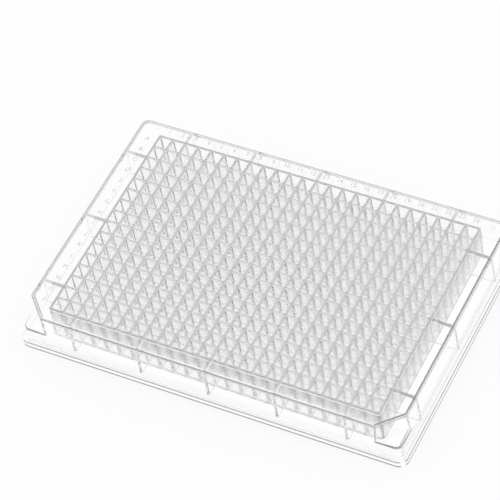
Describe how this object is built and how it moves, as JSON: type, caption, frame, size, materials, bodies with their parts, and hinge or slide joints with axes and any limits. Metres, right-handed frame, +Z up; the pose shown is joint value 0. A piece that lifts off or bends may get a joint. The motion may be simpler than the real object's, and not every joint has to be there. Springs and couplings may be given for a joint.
{
  "type": "well plate",
  "caption": "Clear laboratory microplate: a block of square wells under a thin deck, inside a drafted skirt on a wider foot, with two cut corners.",
  "frame": {"origin": "centre of the footprint, on the face the plate stands on", "axes": "+X along the numbered columns, from column 1 to the last; +Y along the lettered rows, towards row A; +Z up, out of the well mouths"},
  "size_m": [0.1278, 0.0854, 0.0142],
  "materials": {
    "clear_polystyrene": "clear, polished by the mould"
  },
  "bodies": {
    "root": {"plate": "clear_polystyrene"}
  },
  "joints": []
}
